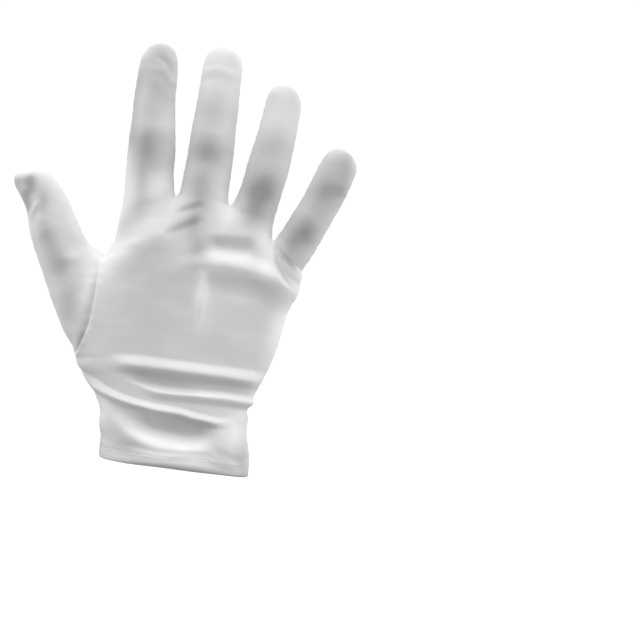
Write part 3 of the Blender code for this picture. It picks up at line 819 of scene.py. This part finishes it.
class Finish:
    """A finish being mixed in a node tree."""

    def __init__(self, tree):
        self.tree = tree

    def node(self, kind, settings=None, values=None):
        """A node with its settings, and numbers or strands on its sockets."""
        node = self.tree.nodes.new(kind)
        for name, setting in (settings or {}).items():
            setattr(node, name, setting)
        for name, value in (values or {}).items():
            if isinstance(value, Strand):
                self.tree.links.new(value.socket, node.inputs[name])
            else:
                node.inputs[name].default_value = value
        return node

    def strand(self, kind, settings=None, values=None, output=0):
        return Strand(self, self.node(kind, settings, values).outputs[output])

    def noise(self, place, scale, detail=2.0):
        return self.strand("ShaderNodeTexNoise", values={"Vector": place, "Scale": scale, "Detail": detail})

    def join(self, strand, shader, name):
        self.tree.links.new(strand.socket, shader.inputs[name])


KNIT_WALE = 0.55  # width of one column of stitches, in millimetres
KNIT_COURSE = 0.42  # height of one stitch
KNIT_UNEVEN = 1.4  # how far the columns and rows wander
WANDER_SCALE, FUZZ_SCALE, CLOUD_SCALE = 150.0, 2600.0, 120.0  # waves to the metre
BUMP_DISTANCE = 0.00006


def knitted(name, tone, relief):
    """White machine-knitted cloth: fine columns of V stitches, a soft fuzz, and painted shade and painted
    highlights read from the mesh.
    """
    material = bpy.data.materials.new(name)
    material.use_nodes = True
    shader = material.node_tree.nodes["Principled BSDF"]
    finish = Finish(material.node_tree)
    place = finish.strand("ShaderNodeUVMap", {"uv_map": "knit"}, output="UV")
    solid = finish.strand("ShaderNodeTexCoord", output="Object")
    parts = finish.node("ShaderNodeSeparateXYZ", values={"Vector": place})
    uneven = finish.noise(solid, WANDER_SCALE)
    round_it = Strand(finish, parts.outputs["X"]) + uneven * KNIT_UNEVEN
    up = Strand(finish, parts.outputs["Y"]) + uneven * KNIT_UNEVEN
    wale = (round_it * (math.pi / KNIT_WALE)).sine()
    slant = wale.size() * 0.9
    stitch = (up * (2 * math.pi / KNIT_COURSE) + slant * 2.2).sine()
    loops = wale.size() * 0.7 + stitch * 0.3
    fuzz = finish.noise(solid, FUZZ_SCALE)
    cloudy = finish.noise(solid, CLOUD_SCALE, 3.0)
    painted_light = finish.strand("ShaderNodeAttribute", {"attribute_name": "painted_light"}, output="Fac")
    # the base tone, darkened by painted shade and whitened by painted highlights from the mesh's attribute of
    # painted light
    shade = tone * (1.0 - painted_light * SHADE_PAINT_DEPTH) * (0.985 + cloudy * 0.03)
    grey = finish.strand("ShaderNodeCombineColor", values={"Red": shade, "Green": shade, "Blue": shade})
    height = loops + fuzz * 0.5
    bumps = {"Height": height, "Strength": relief, "Distance": BUMP_DISTANCE}
    finish.join(grey, shader, "Base Color")
    finish.join(0.66 + (fuzz - 0.5) * 0.14, shader, "Roughness")
    finish.join(finish.strand("ShaderNodeBump", values=bumps), shader, "Normal")
    shader.inputs["Sheen Weight"].default_value = 0.22
    shader.inputs["Sheen Roughness"].default_value = 0.45
    shader.inputs["Specular IOR Level"].default_value = 0.3
    return material


# Painted shade and painted highlights on the back of the glove: strokes that darken the cloth where shade
# falls, or whiten it where light falls when their strength is below 0. Each gives how much, how far to each
# side of its route, and the route (x, z, share).
PAINTED_LIGHT_STROKES = (
    # index finger
    (.45, 11, ((-33, 142, 0), (-34, 152, .6), (-34.5, 165), (-35, 190), (-35.5, 206), (-36, 214, .9))),
    (.16, 5, ((-40, 199, .4), (-33, 193.3), (-27, 188.9))),
    (-.08, 3.5, ((-41.7, 189, .6), (-41.2, 186), (-41, 182, .6))),
    (-.15, 3.5, ((-35, 176, .4), (-28, 175), (-23, 175.7))),
    (.26, 5.0, ((-36.6, 166, .9), (-36.2, 162), (-35.6, 159.5, .8))),
    (.24, 3.0, ((-36.9, 153, .4), (-35.8, 146), (-34.9, 138, .7))),
    (-.14, 4.0, ((-41.5, 158, .3), (-41, 150), (-40.5, 140), (-39.5, 130), (-38, 123, .6))),
    (-.44, 6.0, ((-27.9, 154.5, .3), (-27, 147, .8), (-28, 138), (-28, 130, .9), (-32, 119.3, .5))),
    (.34, 6, ((-41, 212, .6), (-36, 215), (-30, 212, .8))),
    (.60, 3.4, ((-45, 206, .5), (-45.4, 196), (-45.6, 180, .9), (-45, 167, .9), (-45, 158, .3))),
    (.30, 2.4, ((-33, 205, .5), (-29.4, 203), (-27.6, 200, .5))),
    # middle finger
    (.44, 10, ((-4, 156, 0), (-5, 164, .8), (-5, 175), (-4.5, 186, .9), (-4.5, 195, .5), (-4.5, 202, 0))),
    (.34, 5.6, ((-7, 162.2, .9), (-4.5, 161.6), (-1, 161, .8))),
    (.26, 4.0, ((3, 216, .6), (6, 210), (7.4, 198, .9), (8, 182), (7.4, 168, .7), (6, 160, .2))),
    (-.20, 5.0, ((5, 158, .2), (5.2, 150), (8, 142, .8), (11, 133, .3))),
    (.46, 5.4, ((-6.3, 148, .8), (-5.2, 141), (-5, 135), (-5.4, 124.7, .8), (-2.4, 116, .9),
        (-2, 107, .4))),
    (.34, 6, ((-9, 216, .7), (-4, 219), (1, 216, .8))),
    # ring finger
    (.52, 10, ((23, 131, 0), (24.4, 137, .8), (27, 150), (30, 160), (29.4, 172, .9), (30.6, 184, .35),
        (31, 196, .1))),
    (.46, 5.6, ((21.6, 147.5), (25.5, 148), (29.5, 147.6, .8))),
    (.22, 4.0, ((20, 155, .5), (21.4, 162), (23, 170, .5))),
    (.28, 4.0, ((34, 203, .7), (38, 197), (40, 186, .9), (39.6, 172, .8), (38, 162, .3))),
    (.28, 5.5, ((25.2, 145, .8), (24, 139), (22.8, 133.5, .9))),
    (.34, 6, ((26, 201, .7), (31, 203), (36, 201, .8))),
    # little finger
    (.54, 10, ((44.5, 117, .4), (47.5, 126, .8), (54, 142), (58, 152), (62, 164), (65, 172, .9))),
    (.16, 8.0, ((52, 143, .7), (58, 146), (60, 151), (57, 158, .7))),
    (.16, 8.0, ((61, 163, .7), (65, 170))),
    (.34, 4.2, ((55.5, 151, .6), (60, 152.5), (66, 153))),
    (.36, 4.4, ((67, 148, .5), (68.4, 155), (69, 163), (69, 171, .8))),
    (.54, 5.6, ((44.6, 123, .9), (47.5, 126.5), (51, 128, .9))),
    (.20, 3.6, ((39.3, 118.4, .3), (43.6, 115.6), (47.5, 112.9, .9), (51.5, 110, .5))),
    (.26, 3.0, ((37.6, 118, .3), (40, 110.8), (44.4, 105.4), (48.6, 101.8, .7))),
    # thumb
    (.60, 2.6, ((-103, 137), (-99.5, 137.6, .8), (-96, 138.6, .9), (-93, 138.6, .3))),
    (.78, 3.0, ((-94.4, 139, .8), (-94.2, 134.5, .9), (-96, 131), (-95, 126), (-93.4, 122, .4))),
    (.55, 3.4, ((-88.4, 133, .5), (-86.4, 129), (-86.4, 125.6, .9))),
    (.26, 4, ((-70, 112, .5), (-66, 109.5), (-62, 108), (-58, 107, .5))),
    (.25, 3.0, ((-83.8, 116.6), (-83.4, 113, .9))),
    (.26, 8, ((-88, 141, .8), (-84, 136, .9), (-78, 128, .8), (-72, 117, .8), (-66, 109, .5),
        (-62, 104, 0))),
    (.66, 6.0, ((-84, 115, .3), (-81, 109.5), (-77.5, 104), (-74, 99.5), (-71.5, 94.5, .7),
        (-70, 91, .3))),
    (.30, 4.5, ((-66.7, 82), (-65.3, 77), (-65.3, 71.5, .8))),
    (-.34, 3.5, ((-56, 95, .5), (-56.6, 88), (-57.4, 81, .9), (-58.6, 76, .4))),
    (.30, 1.8, ((-52.8, 96, .3), (-54, 84, .8), (-54.8, 76), (-55.6, 69), (-56.6, 62), (-57.4, 54, .8))),
    (-.20, 3.6, ((-74, 88, .6), (-72, 84), (-66, 90, .6), (-65, 95, .2))),
    # back of the hand
    (-.22, 6.0, ((-49.5, 86, .3), (-50.5, 93, .8), (-50, 99), (-46, 101), (-41, 108), (-36, 115, .7))),
    (.14, 14, ((-28, 104, .7), (-22, 90), (-22, 78), (-24, 62, .8))),
    (-.14, 13, ((12, 100, .5), (18, 88), (24, 76, .8), (30, 64, .5))),
    (-.40, 2.4, ((2.6, 102, .4), (2.8, 98), (2.8, 88), (2.8, 76, .6), (2.8, 66, .1))),
    (-.24, 6.0, ((6, 99, .5), (6, 92), (6, 82), (6, 70, .5))),
    (-.12, 1.6, ((-17, 91.8, 0), (-10, 92.8), (-3, 93.8, .6))),
    (-.12, 1.6, ((-15, 79.2, 0), (-8, 80.2), (-2, 81, .6))),
    (-.20, 5.0, ((8, 98, .3), (16, 96, .6), (25, 95), (34, 94.5), (42, 92, .5))),
    (-.22, 5.0, ((-21, 108, .4), (-15, 110.4), (-8, 110.6), (-5, 110, .4))),
    (-.42, 5.0, ((47, 102, .5), (45.5, 94), (44, 84), (43, 75, .9), (40, 64, .2))),
    (.60, 2.8, ((-20, 117.4, 0), (-16, 121, .7), (-11.4, 124.4), (-7, 126.6), (-3, 128.4, .3))),
    (.44, 2.2, ((-15.5, 131.6, .3), (-11, 134.2), (-7.4, 135.6, .9), (-4, 137.2, .5))),
    (-.20, 6.0, ((33.9, 124.6, .7), (34.7, 118), (35.6, 112))),
    # wrist and cuff
    (-.26, 4.0, ((-18, 8, .4), (-10, 8), (2, 8, .9), (8, 7.8, .5))),
    (-.18, 4.0, ((8, 13.6, .6), (14, 16), (20, 16, .6))),
    (-.20, 3.0, ((-42, 33, .8), (-37.5, 30.6, .6))),
    (.30, 2.4, ((-55.6, 65, .3), (-56, 61), (-56, 56.5), (-57, 53, .5))),
    (.30, 4.0, ((34.5, 34, .6), (34, 27), (34.4, 20), (35, 13, .6))),
    (.24, 6, ((-8, 24.5, .5), (-1, 23.5), (8, 23.5), (14, 24, .7))),
    (.22, 5, ((-22, 46.5, .6), (-12, 45.4), (-2, 45.6, .7), (8, 46, .2))),
    (-.14, 5, ((24, 27, .6), (27.5, 23), (26, 18, .5))),
    (-.26, 2.6, ((5, 40, .3), (12, 40.6), (20, 40.4), (28, 40, .5))),
    (-.28, 3.0, ((-29, 18.4, .3), (-24, 16), (-18, 14.8, .9), (-8, 13.8, .6), (2, 13.6, .4))),
    (-.20, 4.0, ((-24, 9, .3), (-14, 8.4), (-4, 7.4), (8, 7.4, .9), (16, 8, .5))),
    (.55, 5.0, ((36, 14, .6), (35, 9.4), (38, 3))),
    (.40, 2.8, ((0, 0, 0), (14, 0, .5), (22, .6, .9), (30, .6), (38, .6))),
    (.75, 4.0, ((-42.6, 18, .3), (-42, 11), (-41.6, 3))),
)
SHADE_PAINT_DEPTH = 0.5  # how much darker a stroke of painted shade of strength 1 makes the cloth
HIGHLIGHT_PAINT_LIMIT = -0.48  # the lowest strength, where the painted highlight is whitest
STROKE_REACH = 2.2  # how far from its route a stroke of painted shade or highlight is looked for, in widths
BACK_EDGE, BACK_FADE = 0.25, 0.6  # where the painted shade and highlights of the back end past the side seams


def mark_painted_light(mesh):
    """Keeps in the mesh the painted shade and painted highlights on the back of the hand."""
    places = read_all(mesh.vertices, "co", 3)
    normals = read_all(mesh.vertex_normals, "vector", 3)
    painted_light = np.zeros(len(places))
    # each stroke adds painted shade, or painted highlight where its strength is below 0
    for strength, width, route in PAINTED_LIGHT_STROKES:
        near, distance, share = along_route(route, places[:, 0], places[:, 2], STROKE_REACH * width)
        painted_light[near] += strength * share * np.exp(-((distance / width) ** 2))
    painted_light *= eased_all((BACK_EDGE - normals[:, 1]) / BACK_FADE)
    painted_light = np.clip(painted_light, HIGHLIGHT_PAINT_LIMIT, 1.0).astype(np.float32)
    mesh.attributes.new("painted_light", "FLOAT", "POINT").data.foreach_set("value", painted_light)


def cut_piece(skin, piece):
    """The faces of one piece, stopped a little short of its seams. Returns it with each vertex's normal."""
    bm = bmesh.new()
    bm.from_mesh(skin)
    normals = bm.verts.layers.float_vector.new("outward")
    for vert in bm.verts:
        vert[normals] = vert.normal
    bmesh.ops.delete(bm, geom=[face for face in bm.faces if face.material_index != piece], context="FACES")
    moves = {}
    for vert in bm.verts:
        if vert.is_boundary and not (piece == HEM and vert.co.z < HEM_WALL):
            inner = [e.other_vert(vert) for e in vert.link_edges if not e.is_boundary]
            inner = inner or [v for f in vert.link_faces for v in f.verts if v != vert]
            towards = sum((v.co for v in inner), Vector()) / len(inner) - vert.co
            moves[vert] = towards.normalized() * SEAM_SETBACK
    for vert, move in moves.items():
        vert.co += move
    return bm, normals


def give_wall(bm, normals, wall):
    """Turns a piece of skin into a closed wall of cloth, thickened inwards."""
    made = bmesh.ops.extrude_face_region(bm, geom=bm.faces[:], use_keep_orig=True)["geom"]
    for vert in (item for item in made if isinstance(item, bmesh.types.BMVert)):
        vert.co -= Vector(vert[normals]) * wall
    bmesh.ops.recalc_face_normals(bm, faces=bm.faces)


SHARP_TURN = math.radians(55)  # a sharper edge than this isn't shaded smooth


def finished_piece(name, bm, material, node, slot):
    """Makes an object of a piece, in metres, with its finish, and lets it stand for its solid."""
    bmesh.ops.scale(bm, vec=(MM, MM, MM), verts=bm.verts)
    for face in bm.faces:
        face.material_index = 0
    piece = new_object(name, bm)
    piece.data.shade_smooth()
    piece.data.set_sharp_from_angle(angle=SHARP_TURN)
    piece.data.materials.append(material)
    bpy.context.scene.collection.objects.link(piece)
    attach(piece, "root")
    if node:
        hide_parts(node)
    return piece


STITCH = (2.3, 0.34, 0.26)  # length, width and thickness of one stitch of thread
STITCH_PITCH = 3.1
STITCH_LINE = 5.0  # how far the hem's row of stitches is above the cuff's edge
STITCH_START = Vector((1.0, 0.3, 0.0))  # the row starts at the point furthest this way


def stitch_line(skin):
    """The line round the cuff that the hem's stitches follow: its points, each with the cloth's normal."""
    ring = bmesh.new()
    ring.from_mesh(skin)
    whole = ring.verts[:] + ring.edges[:] + ring.faces[:]
    cut = bmesh.ops.bisect_plane(ring, geom=whole, plane_co=(0, 0, STITCH_LINE), plane_no=(0, 0, 1))
    edges = {item for item in cut["geom_cut"] if isinstance(item, bmesh.types.BMEdge)}
    edge = max(edges, key=lambda e: (e.verts[0].co + e.verts[1].co).dot(STITCH_START))
    first, at = sorted(edge.verts, key=lambda v: v.co.y)
    line = [(first.co.copy(), first.normal.copy())]
    while at != first:
        line.append((at.co.copy(), at.normal.copy()))
        edge = next(e for e in at.link_edges if e in edges and e != edge)
        at = edge.other_vert(at)
    line.append(line[0])
    ring.free()
    return line


def along_line(line, pitch):
    """Places, directions and normals at even steps along a line of points with normals."""
    run = np.concatenate([[0], np.cumsum([(b[0] - a[0]).length for a, b in zip(line, line[1:])])])
    count = round(run[-1] / pitch)
    for number in range(count):
        k = np.searchsorted(run, run[-1] * (number + 0.5) / count) - 1
        share = (run[-1] * (number + 0.5) / count - run[k]) / (run[k + 1] - run[k])
        place = line[k][0].lerp(line[k + 1][0], share)
        yield place, (line[k + 1][0] - line[k][0]).normalized(), line[k][1]


def hem_stitches(skin):
    """The hem's stitches: short runs of thread that lie on the cloth, one after another round the cuff."""
    bm = bmesh.new()
    for place, way, outward in along_line(stitch_line(skin), STITCH_PITCH):
        turn = Matrix((way, outward.cross(way), outward)).transposed().to_4x4()
        matrix = Matrix.Translation(place) @ turn @ Matrix.Diagonal((*STITCH, 1)) @ Matrix.Scale(0.5, 4)
        bmesh.ops.create_uvsphere(bm, u_segments=6, v_segments=6, radius=1.0, matrix=matrix)
    return bm


# name, piece, wall, the solid it stands for, material slot, and the flat cut's width, length and area
Cut = namedtuple("Cut", "name piece wall node slot flat area")
CUTS = (
    Cut("back_cloth", BACK, CLOTH_WALL, "back_panel", "white_knit", (0.17, 0.215), 0.0205),
    Cut("palm_cloth", PALM, CLOTH_WALL, "palm_panel", "white_knit", (0.17, 0.215), 0.0205),
    Cut("thumb_cloth", THUMB_PIECE, CLOTH_WALL, "thumb", "white_knit", (0.085, 0.09), 0.0055),
    Cut("cuff_edge", HEM, HEM_WALL, "cuff_hem", "hem_knit", None, None),
)


def sew_glove():
    skin = smoothed_skin()
    press_skin(skin)
    # paints shade and highlights into the colour of the back of the glove
    mark_painted_light(skin)
    finishes = {
        "white_knit": knitted("white_knit", 0.77, 0.27),
        "hem_knit": knitted("hem_knit", 0.77, 0.32),
    }
    for cut in CUTS:
        bm, normals = cut_piece(skin, cut.piece)
        give_wall(bm, normals, cut.wall)
        finished_piece(cut.name, bm, finishes[cut.slot], cut.node, cut.slot)
    stitches = finished_piece("hem_stitches", hem_stitches(skin), finishes["hem_knit"], None, "hem_knit")
    bpy.data.meshes.remove(skin)


FLOOR_Z = -0.16
FLOOR_SIZE = 6.0
VIEW_LEAN = math.radians(7.5)  # the glove leans this far in the picture
VIEW_MIDDLE = (0.0647, 0.0, 0.0859)
VIEW_DISTANCE = 1.2
VIEW_WIDTH = 0.3328  # what the picture takes in, at the glove


def set_camera():
    lens = bpy.data.cameras.new("camera")
    lens.lens = lens.sensor_width * VIEW_DISTANCE / VIEW_WIDTH
    camera = bpy.data.objects.new("camera", lens)
    bpy.context.scene.collection.objects.link(camera)
    right = Vector((math.cos(VIEW_LEAN), 0, math.sin(VIEW_LEAN)))
    up = Vector((-math.sin(VIEW_LEAN), 0, math.cos(VIEW_LEAN)))
    back = right.cross(up)
    camera.matrix_world = Matrix.Translation(Vector(VIEW_MIDDLE) + back * VIEW_DISTANCE) @ (
        Matrix((right, up, back)).transposed().to_4x4()
    )
    bpy.context.scene.camera = camera


SCREEN_RADIUS = 3.0
SCREEN_HEIGHT = 6.0
SCREEN_SWEEP = 1.2  # radius of the curve from the floor up into the screen
SWEEP_POINTS = 13
SCREEN_STEPS = 48


def make_floor():
    bm = bmesh.new()
    bmesh.ops.create_grid(bm, x_segments=1, y_segments=1, size=FLOOR_SIZE)
    bmesh.ops.translate(bm, vec=(0, 0, FLOOR_Z), verts=bm.verts)
    return new_object("floor", bm)


def make_screen():
    """A pale screen round the front of the studio, which only views from behind the glove take in."""
    bm = bmesh.new()
    foot = [(math.sin(turn), 1 - math.cos(turn)) for turn in np.linspace(0, math.pi / 2, SWEEP_POINTS)]
    rise = [(SCREEN_RADIUS + SCREEN_SWEEP * (out - 1), SCREEN_SWEEP * up) for out, up in foot]
    rise.append((SCREEN_RADIUS, SCREEN_HEIGHT))
    posts = [bm.verts.new((out, 0, FLOOR_Z + up)) for out, up in rise]
    edges = [bm.edges.new(pair) for pair in zip(posts, posts[1:])]
    bmesh.ops.spin(bm, geom=edges + posts, cent=(0, 0, 0), axis=(0, 0, 1), angle=-math.pi, steps=SCREEN_STEPS)
    screen = new_object("screen", bm)
    screen.data.shade_smooth()
    return screen


def set_stage(thing, material):
    """Sets up the floor or the screen: it shows, but throws no light back on the glove."""
    thing.data.materials.append(material)
    bpy.context.scene.collection.objects.link(thing)
    thing.visible_diffuse = False
    thing.visible_glossy = False
    thing.visible_shadow = False


def pale_paint():
    material = bpy.data.materials.new("pale_paint")
    material.use_nodes = True
    shader = material.node_tree.nodes["Principled BSDF"]
    shader.inputs["Base Color"].default_value = (0.8, 0.8, 0.8, 1)
    shader.inputs["Roughness"].default_value = 0.9
    return material


# The studio's light is a sum of soft glows: the way each comes from, how narrow it is, and how strong.
Glow = namedtuple("Glow", "x y z narrow strength")
GLOWS = (
    Glow(0.0, 0.0, 1.0, 2, 1.04),  # a white ceiling
    Glow(0.0, 0.0, 1.0, 6, 0.67),
    Glow(0.0, -0.45, 0.89, 4, 1.39),  # the main light, over the camera
    Glow(1.0, 0.0, 0.0, 2, 0.91),  # white walls beside the glove
    Glow(-1.0, 0.0, 0.0, 2, 0.91),
    Glow(1.0, 0.0, 0.0, 6, 0.73),  # and tall lamps before them, which rim it
    Glow(-1.0, 0.0, 0.0, 6, 0.73),
    Glow(0.95, 0.1, 0.3, 4, 0.51),
    Glow(-0.95, 0.1, 0.3, 4, 0.51),
)
ROOM_LIGHT = 0.01  # from everywhere
# The backdrop is bright right behind the glove: where it starts and is full, as cosines, and its light.
BACKDROP = (0.955, 0.975, 1.0)


def set_light():
    world = bpy.data.worlds.new("studio")
    world.use_nodes = True
    bpy.context.scene.world = world
    finish = Finish(world.node_tree)
    way = finish.strand("ShaderNodeTexCoord", output="Generated")
    parts = finish.node("ShaderNodeSeparateXYZ", values={"Vector": way})
    x, y, z = (Strand(finish, parts.outputs[axis]) for axis in "XYZ")
    start, end, bright = BACKDROP
    light = ROOM_LIGHT + finish.strand(
        "ShaderNodeMapRange",
        {"interpolation_type": "SMOOTHSTEP"},
        {"Value": y, "From Min": start, "From Max": end, "To Min": 0.0, "To Max": bright},
    )
    for glow in GLOWS:
        light = light + (x * glow.x + y * glow.y + z * glow.z).above(0.0) ** glow.narrow * glow.strength
    sky = world.node_tree.nodes["Background"]
    finish.join(light, sky, "Strength")
    sky.inputs["Color"].default_value = (1, 1, 1, 1)
    bpy.context.scene.view_settings.view_transform = "Standard"


set_camera()
paint = pale_paint()
set_stage(make_floor(), paint)
set_stage(make_screen(), paint)
set_light()
sew_glove()
